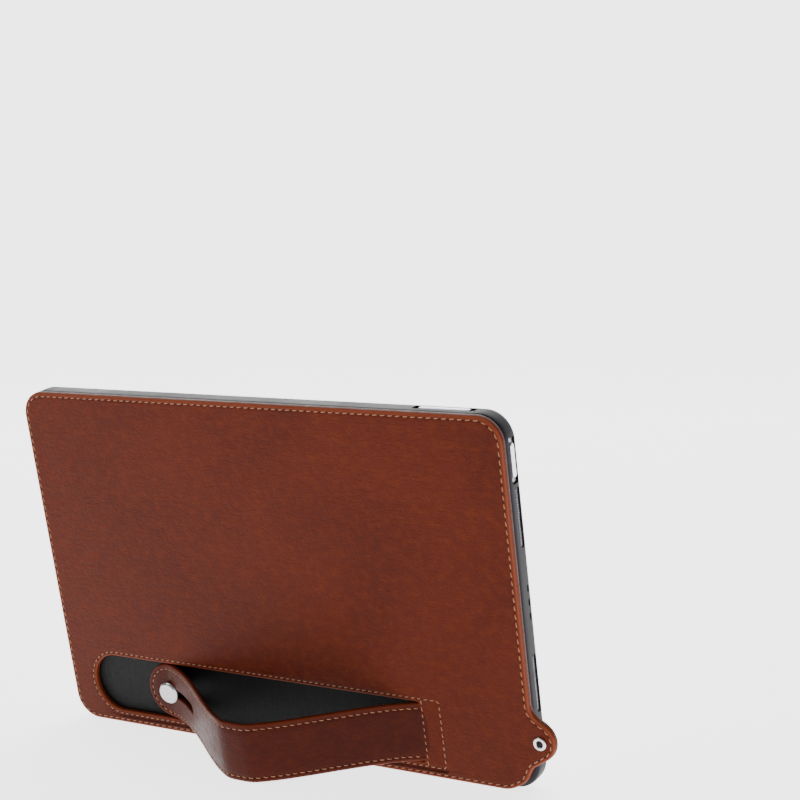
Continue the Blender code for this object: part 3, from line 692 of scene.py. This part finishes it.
def strap_curve(s):
    """(point, tangent) on the strap's middle, s along it from the fixed hinge, in metres.

    The curve rounds off the chain of hinges: it touches each link at its middle.
    """
    half = LINK_LENGTH / 2
    hinge = min(max(round(s / LINK_LENGTH), 0), 13)
    flat = -RIGHT * half * MM
    here = HINGES[hinge]
    before = (HINGES[hinge - 1] + here) / 2 if hinge > 0 else here - flat
    after = (HINGES[hinge + 1] + here) / 2 if hinge < 13 else here + flat
    share = (s - (hinge * LINK_LENGTH - half)) / LINK_LENGTH
    if share > 1.0 or share < 0.0:
        end = after if share > 1.0 else before
        return end - RIGHT * (s - (hinge * LINK_LENGTH + math.copysign(half, share))) * MM, -RIGHT
    # evenly spaced along a flat strap, so that the slot stays where it is when the strap lies flat
    aside, pull = share - 0.5, CORNER_PULL
    share = 0.5 + (pull + 1) * aside / (1 + math.sqrt(1 + 4 * (pull**2 - 1) * aside**2))
    parts = ((1 - share) ** 2, 2 * CORNER_PULL * share * (1 - share), share**2)
    point = (before * parts[0] + here * parts[1] + after * parts[2]) / sum(parts)
    slopes = (2 * (share - 1), 2 * CORNER_PULL * (1 - 2 * share), 2 * share)
    speed = before * slopes[0] + here * slopes[1] + after * slopes[2] - point * sum(slopes)
    return point, speed.normalized()


def on_strap(s, across, height):
    point, tangent = strap_curve(s)
    away = min(abs(s / LINK_LENGTH - BOW_MIDDLE) / BOW_REACH, 1.0)
    height += BOW_LIFT * (1 + math.cos(math.pi * away)) / 2
    return point + (UP * across + UP.cross(tangent) * height) * MM


def strap_span(number):
    """The stretch of strap around a hinge, from the middle of one link to the middle of the next."""
    low = STRAP_ROOT if number == 0 else (number - 0.5) * LINK_LENGTH
    high = STRAP_TIP + 1.0 if number == 13 else (number + 0.5) * LINK_LENGTH
    return low, high


def bend_with_strap(piece):
    """Bakes the placement of a stretch of strap into its mesh."""
    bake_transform(piece)


def strap_replaced(number):
    if number == 0:
        return ["strap_anchor"]
    nodes = frame["record"]["behaviour"]["bodies"][LINKS[number - 1]]
    return list(nodes) + (["strap_end"] if number == 13 else [])


def flat_strap():
    """The strap laid flat: X along it from the fixed hinge, Y across, Z its thickness."""
    half = STRAP_HALF_WIDTH
    corners = (
        (STRAP_ROOT, -half, 8.3), (STRAP_TIP, -half, half - 0.01),
        (STRAP_TIP, half, half - 0.01), (STRAP_ROOT, half, 8.3),
    )
    path = rounded(corners, 20)
    left, right, corner = SLOT_FROM - SLOT_HALF, SLOT_TO + SLOT_HALF, SLOT_HALF - 0.001
    slot = [
        (left, -SLOT_HALF, corner), (right, -SLOT_HALF, corner),
        (right, SLOT_HALF, corner), (left, SLOT_HALF, corner),
    ]
    form = bmesh.new()
    # Painted highlight on the rounded edges, stored as edge for the leather.
    highlight = form.verts.layers.float.new("edge")
    rings = {}
    for key, outline, profile, side in (
        ("outer", path, STRAP_EDGE, 1.0), ("slot", rounded(slot, 8), SLOT_EDGE, -1.0),
    ):
        rings[key] = []
        for inset, z, highlight_share in profile:
            made = ring(form, outline, inset * side, z)
            for vertex in made:
                vertex[highlight] = highlight_share
            rings[key].append(made)
        bridge(form, rings[key])
    for end in (0, -1):
        fill(form, rings["outer"][end], rings["slot"][end])
    step = LINK_LENGTH / 8
    for k in range(-8, 8 * 14 + 8):
        geometry = form.verts[:] + form.edges[:] + form.faces[:]
        bmesh.ops.bisect_plane(form, geom=geometry, plane_co=(k * step, 0, 0), plane_no=(1, 0, 0), dist=1e-4)
    bmesh.ops.recalc_face_normals(form, faces=form.faces)
    layer = form.loops.layers.uv.new("plan")
    for face in form.faces:
        for loop in face.loops:
            loop[layer].uv = (loop.vert.co.x * MM + 0.3, loop.vert.co.y * MM + 0.4)
    return form, path


def curl(form):
    for vertex in form.verts:
        vertex.co = on_strap(*vertex.co)


def keep_faces(form, low, high):
    gone = [face for face in form.faces if not low <= face.calc_center_median().x < high]
    bmesh.ops.delete(form, geom=gone, context="FACES")


def make_strap():
    form, path = flat_strap()
    for number in range(14):
        low, high = strap_span(number)
        part = form.copy()
        keep_faces(part, low, high)
        curl(part)
        mesh = bpy.data.meshes.new(f"strap_{number:02d}")
        part.to_mesh(mesh)
        part.free()
        mesh.shade_smooth()
        mesh.materials.append(STRAP_LEATHER)
        piece = bpy.data.objects.new(mesh.name, mesh)
        bpy.context.scene.collection.objects.link(piece)
        bend_with_strap(piece)
        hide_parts(*strap_replaced(number))
    form.free()

    line = [point - normal * STRAP_STITCH_INSET for point, normal in path]
    steps, step = walk(line, STRAP_PITCH)
    rng = random.Random(2)
    for number in range(14):
        low, high = strap_span(number)
        stitches, holes = bmesh.new(), bmesh.new()
        layer = stitches.loops.layers.uv.new("plan")
        for middle, along in steps:
            if low <= middle.x < high and middle.x > 1.5:
                add_stitch(stitches, layer, middle, along, step * STITCH_SHARE, STRAP_STITCH_Z, rng)
                add_hole(holes, middle + along * step / 2, along, STRAP_STITCH_Z)
        for made, kind, surface in ((stitches, "stitches", THREAD), (holes, "needle_holes", NEEDLE_HOLE)):
            if not made.verts:
                made.free()
                continue
            curl(made)
            piece = finish_mesh(made, f"strap_{kind}_{number:02d}", surface, Matrix.Identity(4))
            bend_with_strap(piece)


# ---------------------------------------------------------------- flexible frame
FRAME_PROFILE = (  # inset from the frame's outline, height: back, side, lip, pocket
    (5.0, -3.5), (1.5, -3.5), (0.95, -3.58), (0.5, -3.8), (0.2, -4.2), (0.06, -4.8), (0.0, -6.5),
    (0.0, -8.0), (0.0, -9.6), (0.08, -10.7), (0.3, -11.35), (0.66, -11.82), (1.1, -12.15),
    (1.5, -12.3), (1.9, -12.26), (2.15, -12.16), (2.35, -12.02), (2.42, -11.9), (2.4, -11.8),
    (0.9, -11.8), (0.9, -4.7), (5.0, -4.7),
)


def cutter(name, low, high, flare=0.0, axis=1, corner=0.0):
    """A block that cuts an opening. Along its long side it widens outwards by flare."""
    form = bmesh.new()
    bmesh.ops.create_cube(form, size=1.0)
    low, high = Vector(low), Vector(high)
    long_way = 1 - axis
    for vertex in form.verts:
        outer = vertex.co[axis] > 0
        place = Vector((low[i] + high[i]) / 2 + vertex.co[i] * (high[i] - low[i]) for i in range(3))
        if outer:
            place[long_way] += math.copysign(flare, vertex.co[long_way])
        vertex.co = place
    if corner:
        along = [e for e in form.edges if abs((e.verts[0].co - e.verts[1].co).normalized()[axis]) > 0.9]
        bmesh.ops.bevel(form, geom=along, offset=corner, segments=6, profile=0.5, affect="EDGES")
    made = finish_mesh(form, name, DARK_PLASTIC)
    made.hide_render = True
    return made


OPENING_REACH = 4.0
KEY_OPENING_LOW, KEY_OPENING_HIGH = -10.7, -5.9
KEY_OPENING_SPARE, KEY_OPENING_FLARE, KEY_OPENING_CORNER = 0.6, 4.0, 0.5
SOUND_SLOT_HALF, SOUND_SLOT_LOW, SOUND_SLOT_HIGH, SOUND_SLOT_CORNER = 13.2, -10.6, -7.6, 1.45
VENT_Y, VENT_PITCH, VENT_HALF, VENT_LOW, VENT_HIGH, VENT_CORNER = 78.9, 6.2, 1.6, -10.2, -8.9, 0.6
PORT_Y, PORT_HALF, PORT_LOW, PORT_HIGH, PORT_CORNER = 84.0, 6.5, -11.0, -5.4, 2.8
MICROPHONE_X, MICROPHONE_HALF, MICROPHONE_LOW, MICROPHONE_HIGH = 118.0, 1.8, -10.1, -6.5
MOULD_SEAM_INSET, MOULD_SEAM_HALF, MOULD_SEAM_DEPTH = 14.6, 0.13, 0.22
MOULD_SEAM_LOW, MOULD_SEAM_HIGH = -11.3, -4.2


def side_cutter(name, x, y, half, low, high, corner):
    """A cutter for a slot that runs along Y in a short side of the frame."""
    return cutter(name, (x - 3, y - half, low), (x + 3, y + half, high), 0.0, 0, corner)


def frame_cutters():
    right, top = PANEL_LENGTH, PANEL_HEIGHT
    low, high = KEY_OPENING_LOW, KEY_OPENING_HIGH
    flare, corner = KEY_OPENING_FLARE, KEY_OPENING_CORNER
    half = VOLUME_LENGTH / 2 + KEY_OPENING_SPARE
    volume = (VOLUME_X - half, top - OPENING_REACH, low), (VOLUME_X + half, top + OPENING_REACH, high)
    half = POWER_LENGTH / 2 + KEY_OPENING_SPARE
    power = (right - OPENING_REACH, POWER_Y - half, low), (right + OPENING_REACH, POWER_Y + half, high)
    cutters = [
        cutter("cut_volume", *volume, flare, 1, corner),
        cutter("cut_power", *power, flare, 0, corner),
    ]
    slot = (SOUND_SLOT_HALF, SOUND_SLOT_LOW, SOUND_SLOT_HIGH, SOUND_SLOT_CORNER)
    for y in SPEAKER_Y:
        for side, x in enumerate((0.0, right)):
            cutters.append(side_cutter(f"cut_speaker_{side}_{y:.0f}", x, y, *slot))
    for number in range(3):
        y = VENT_Y + VENT_PITCH * number
        cutters.append(
            side_cutter(f"cut_vent_{number}", right, y, VENT_HALF, VENT_LOW, VENT_HIGH, VENT_CORNER)
        )
    cutters.append(side_cutter("cut_port", 0.0, PORT_Y, PORT_HALF, PORT_LOW, PORT_HIGH, PORT_CORNER))
    half = MICROPHONE_HALF
    ends = (MICROPHONE_X - half, -3.0, MICROPHONE_LOW), (MICROPHONE_X + half, 3.0, MICROPHONE_HIGH)
    cutters.append(cutter("cut_microphone", *ends, 0.0, 1, half - 0.05))
    half, depth = MOULD_SEAM_HALF, MOULD_SEAM_DEPTH
    for number, x in enumerate((MOULD_SEAM_INSET, right - MOULD_SEAM_INSET)):
        for level, y in (("low", 0.0), ("high", top)):
            low, high = (x - half, y - depth, MOULD_SEAM_LOW), (x + half, y + depth, MOULD_SEAM_HIGH)
            cutters.append(cutter(f"cut_seam_{level}_{number}", low, high))
    return cutters


def make_frame():
    corners = rectangle(Vector((0.0, 0.0)), Vector((PANEL_LENGTH, PANEL_HEIGHT)), FRAME_CORNER)
    path = rounded(corners, 20)
    form = bmesh.new()
    rings = [ring(form, path, inset, z) for inset, z in FRAME_PROFILE]
    bridge(form, rings)
    form.faces.new(rings[0][::-1])
    form.faces.new(rings[-1])
    case = finish_mesh(form, "frame_shell", FRAME_PLASTIC)
    cutters = frame_cutters()
    for block in cutters:
        modifier = case.modifiers.new(block.name, "BOOLEAN")
        modifier.operation, modifier.solver, modifier.object = "DIFFERENCE", "EXACT", block
    soften = case.modifiers.new("soften", "BEVEL")
    soften.width, soften.segments, soften.limit_method = 0.22 * MM, 2, "ANGLE"
    soften.angle_limit = math.radians(50)
    graph = bpy.context.evaluated_depsgraph_get()
    mesh = bpy.data.meshes.new_from_object(case.evaluated_get(graph))
    case.modifiers.clear()
    case.data = mesh
    mesh.shade_smooth()
    mesh.set_sharp_from_angle(angle=math.radians(38))
    for block in cutters:
        bpy.data.objects.remove(block, do_unlink=True)
    riding(case, "case", "frame", "case_frame")


# ---------------------------------------------------------------- tablet
def pill(name, length, thick, depth, matrix, surface):
    """A key: a long rounded bar with a domed face, its length on X and its face on +Y."""
    half, radius = length / 2, thick / 2
    path = rounded(rectangle(Vector((-half, -radius)), Vector((half, radius)), radius - 0.002), 10)
    form = bmesh.new()
    profile = ((0.0, -depth), (0.0, -0.4), (0.05, -0.2), (0.18, -0.06), (0.4, 0.0), (0.8, 0.03))
    rings = [ring(form, path, inset, z) for inset, z in profile]
    bridge(form, rings)
    form.faces.new(rings[0][::-1])
    form.faces.new(rings[-1])
    return finish_mesh(form, name, surface, CASE @ matrix)


KEY_THICK, KEY_DEPTH = 2.7, 3.0


def make_keys():
    edge = TABLET_INSET - 1.2
    upright = (
        Matrix.Translation((VOLUME_X, PANEL_HEIGHT - edge, KEY_Z)) @ Matrix.Rotation(-math.pi / 2, 4, "X")
    )
    volume = pill("volume_key", VOLUME_LENGTH, KEY_THICK, KEY_DEPTH, upright, KEY_METAL)
    riding(volume, "volume_rocker", "button_metal", "volume_rocker")
    sideways = (
        Matrix.Translation((PANEL_LENGTH - edge, POWER_Y, KEY_Z))
        @ Matrix.Rotation(math.pi / 2, 4, "Z") @ Matrix.Rotation(math.pi / 2, 4, "X")
    )
    power = pill("power_key", POWER_LENGTH, KEY_THICK, KEY_DEPTH, sideways, KEY_METAL)
    riding(power, "power_button", "button_metal", "power_button")


RIB_COUNT, RIB_REACH = 22, 12.4


def make_speaker_grilles():
    """A row of fine ribs behind each sound slot."""
    for side, x in (("left", TABLET_INSET - 0.12), ("right", PANEL_LENGTH - TABLET_INSET + 0.12)):
        for y in SPEAKER_Y:
            form = bmesh.new()
            for k in range(RIB_COUNT):
                middle = y + RIB_REACH * (2 * k / (RIB_COUNT - 1) - 1)
                made = bmesh.ops.create_cube(form, size=1.0)["verts"]
                bmesh.ops.scale(form, vec=(0.5, 0.62, 1.5), verts=made)
                bmesh.ops.translate(form, vec=(x, middle, -9.3), verts=made)
            bmesh.ops.bevel(form, geom=form.edges[:], offset=0.12, segments=2, profile=0.5, affect="EDGES")
            riding(finish_mesh(form, f"grille_{side}_{y:.0f}", TABLET_METAL), "case", "tablet_metal")


def rectangle(low, high, corner):
    return (
        (low.x, low.y, corner), (high.x, low.y, corner),
        (high.x, high.y, corner), (low.x, high.y, corner),
    )


def make_screen():
    low = Vector((GLASS_INSET, GLASS_INSET))
    high = Vector((PANEL_LENGTH, PANEL_HEIGHT)) - low
    outer = rounded(rectangle(low, high, GLASS_CORNER), 20)
    window = rounded(rectangle(SCREEN_LOW, SCREEN_HIGH, 0.8), 4)
    form = bmesh.new()
    profile = ((0.0, -10.9), (0.0, -11.45), (0.15, GLASS_Z), (1.0, GLASS_Z))
    edge = [ring(form, outer, inset, z) for inset, z in profile]
    profile = ((0.0, -10.9), (0.0, -11.55), (0.08, GLASS_Z), (0.6, GLASS_Z))
    hole = [ring(form, window, -inset, z) for inset, z in profile]
    bridge(form, edge)
    bridge(form, hole)
    for end in (0, -1):
        fill(form, edge[end], hole[end])
    riding(finish_mesh(form, "bezel_glass", BEZEL), "case", "glass", "cover_glass")

    form = bmesh.new()
    sheet = rounded(rectangle(SCREEN_LOW, SCREEN_HIGH, 0.8), 4)
    rings = [ring(form, sheet, inset, z) for inset, z in ((0.06, -11.1), (0.06, -11.5), (0.12, -11.52))]
    bridge(form, rings)
    form.faces.new(rings[0][::-1])
    form.faces.new(rings[-1])
    riding(finish_mesh(form, "screen_page", PAGE), "case", "paper_screen")


SPRIG = (  # share of the way up the stem, side, length, wash
    (0.08, -1, 30.0, 0), (0.14, 1, 33.0, 1), (0.24, -1, 38.0, 1), (0.31, 1, 40.0, 0), (0.41, -1, 40.0, 2),
    (0.48, 1, 38.0, 1), (0.57, -1, 35.0, 0), (0.64, 1, 33.0, 2), (0.73, -1, 28.0, 1), (0.79, 1, 25.0, 0),
    (0.87, -1, 20.0, 2), (0.92, 1, 17.0, 1), (1.0, 0, 24.0, 0),
)
ART_BACK, ART_FACE = -11.522, -11.55


def stem_point(share):
    return Vector((34.0 + 158.0 * share, 80.0 + 16.0 * math.sin(2.6 * share)))


def add_sheet(form, outline):
    """A thin printed shape on the page."""
    rings = [[form.verts.new((*point, z)) for point in outline] for z in (ART_BACK, ART_FACE)]
    bridge(form, rings)
    form.faces.new(rings[0][::-1])
    form.faces.new(rings[1])


def ribbon(form, points, widths):
    sides = ([], [])
    for k, (point, width) in enumerate(zip(points, widths)):
        along = (points[min(k + 1, len(points) - 1)] - points[max(k - 1, 0)]).normalized()
        across = Vector((-along.y, along.x)) * width / 2
        sides[0].append(point + across)
        sides[1].append(point - across)
    add_sheet(form, sides[1] + sides[0][::-1])


def make_screen_art():
    """A leafy sprig in three washes with inked veins, upright when the tablet is held tall."""
    leaves = [bmesh.new() for _ in WASHES]
    ink = bmesh.new()
    stem = [stem_point(k / 40) for k in range(41)]
    ribbon(ink, stem, [1.5 - 1.0 * k / 40 for k in range(41)])
    for share, side, length, tint in SPRIG:
        base = stem_point(share)
        ahead = (stem_point(share + 0.01) - stem_point(share - 0.01)).normalized()
        ahead = Matrix.Rotation(side * math.radians(46), 2) @ ahead
        across = Vector((-ahead.y, ahead.x)) * (side or 1)
        base = base + ahead * 2.5
        edges = ([], [])
        vein = []
        for k in range(25):
            along = k / 24
            middle = base + ahead * length * along + across * length * 0.1 * math.sin(math.pi * along)
            wide = length * 0.17 * math.sin(math.pi * along**0.8) + 0.05
            ripple = 1 + 0.04 * math.sin(9 * along + 5 * share)
            edges[0].append(middle + across * wide * ripple)
            edges[1].append(middle - across * wide / ripple)
            vein.append(middle)
        add_sheet(leaves[tint], edges[1] + edges[0][::-1])
        ribbon(ink, vein[:22], [0.42 - 0.014 * k for k in range(22)])
    for vertex in ink.verts:
        vertex.co.z -= 0.012
    for form, surface in zip(leaves, WASHES):
        riding(finish_mesh(form, "art_" + surface.name, surface), "case", "paper_screen")
    riding(finish_mesh(ink, "art_ink", INK), "case", "paper_screen")


# ---------------------------------------------------------------- stage
CAMERA_FOCUS = 1724.69
FRAME_PIXELS = 800.0
SENSOR = 36.0
CAMERA_PITCH, CAMERA_YAW, CAMERA_ROLL = 0.15953, -0.53276, -0.0183
CAMERA_CENTRE = (459.56, 478.03)
CORNER_FROM_CAMERA = Vector((-191.578, 114.949, 863.605)) * MM


def make_camera():
    """The camera is placed by where it sees the back's lower left corner: right, down, ahead."""
    right = Vector((math.cos(CAMERA_YAW), -math.sin(CAMERA_YAW), 0.0))
    level = Vector((math.sin(CAMERA_YAW), math.cos(CAMERA_YAW), 0.0))
    up = Vector((0, 0, 1)) * math.cos(CAMERA_PITCH) + level * math.sin(CAMERA_PITCH)
    ahead = level * math.cos(CAMERA_PITCH) - Vector((0, 0, 1)) * math.sin(CAMERA_PITCH)
    seen = CORNER_FROM_CAMERA
    at = spot(0.0, 0.0) - right * seen.x + up * seen.y - ahead * seen.z
    data = bpy.data.cameras.new("camera")
    data.lens = CAMERA_FOCUS * SENSOR / FRAME_PIXELS
    data.sensor_width = SENSOR
    data.shift_x = 0.5 - CAMERA_CENTRE[0] / FRAME_PIXELS
    data.shift_y = CAMERA_CENTRE[1] / FRAME_PIXELS - 0.5
    data.clip_start = 0.01
    camera = bpy.data.objects.new("camera", data)
    roll, rise = math.sin(CAMERA_ROLL), math.cos(CAMERA_ROLL)
    turn = Matrix((right * rise + up * roll, up * rise - right * roll, -ahead)).transposed()
    camera.matrix_world = Matrix.Translation(at) @ turn.to_4x4()
    bpy.context.scene.collection.objects.link(camera)
    bpy.context.scene.camera = camera


SWEEP_GLOW = 2.6


def make_stage():
    """A white sweep: a floor that curves up into a wall well behind."""
    form = bmesh.new()
    span, front, back, radius, height = 4.0, -4.0, 2.4, 1.2, 3.4
    line = [(front, 0.0), (back - radius, 0.0)]
    for k in range(1, 13):
        angle = math.pi / 2 * k / 12
        line.append((back - radius + radius * math.sin(angle), radius - radius * math.cos(angle)))
    line.append((back, height))
    rows = [[form.verts.new((x, y, z)) for x in (-span, span)] for y, z in line]
    for lower, upper in zip(rows, rows[1:]):
        form.faces.new((lower[0], lower[1], upper[1], upper[0]))
    white = Surface("sweep_white", (0.9, 0.9, 0.9), 0.9, Emission_Strength=SWEEP_GLOW)
    white.set(white.shader, "Emission Color", (1.0, 1.0, 1.0, 1.0))
    grain = white.noise(white.place(), 3.0, 2.0)
    white.wear(white.mix(white.remap(grain, 0.3, 0.7), (0.9, 0.9, 0.9), (0.92, 0.92, 0.92)))
    sweep = finish_mesh(form, "sweep", white.material, Matrix.Rotation(-CAMERA_YAW, 4, "Z"))


def area_light(name, at, towards, size, power, colour=(1.0, 1.0, 1.0)):
    data = bpy.data.lights.new(name, "AREA")
    data.shape, data.size, data.size_y = "RECTANGLE", size[0], size[1]
    data.energy, data.color = power, colour
    light = bpy.data.objects.new(name, data)
    light.location = at
    light.rotation_euler = (Vector(towards) - Vector(at)).to_track_quat("-Z", "Y").to_euler()
    bpy.context.scene.collection.objects.link(light)


def make_lights():
    world = bpy.data.worlds.new("studio")
    bpy.context.scene.world = world
    world.use_nodes = True
    background = world.node_tree.nodes["Background"]
    background.inputs["Color"].default_value = (1.0, 1.0, 1.0, 1.0)
    background.inputs["Strength"].default_value = 0.25
    middle = (0.0, 0.0, 0.08)
    area_light("key", (-0.9, -0.9, 1.3), middle, (0.9, 0.9), 9.0)
    area_light("fill", (1.2, -0.9, 0.5), middle, (1.0, 0.8), 3.0)
    area_light("top", (0.1, 0.5, 1.4), middle, (1.4, 0.8), 8.0)


# ---------------------------------------------------------------- CAD nodes that stay
def finish_cad_nodes():
    surfaces = {
        "recess_liner": LINER, "tablet_housing": TABLET_METAL, "rivet_stud": NICKEL,
        "back_board": DARK_PLASTIC, "usb_port": TABLET_METAL,
    }
    for name, node in frame["nodes"].items():
        if node.hide_render:
            continue
        node.data.materials.clear()
        node.data.materials.append(surfaces.get(name, DARK_PLASTIC))


make_camera()
make_stage()
make_lights()
make_back()
make_tab_lining()
make_eyelet()
make_rivet()
make_strap()
make_frame()
make_keys()
make_speaker_grilles()
make_screen()
make_screen_art()
finish_cad_nodes()
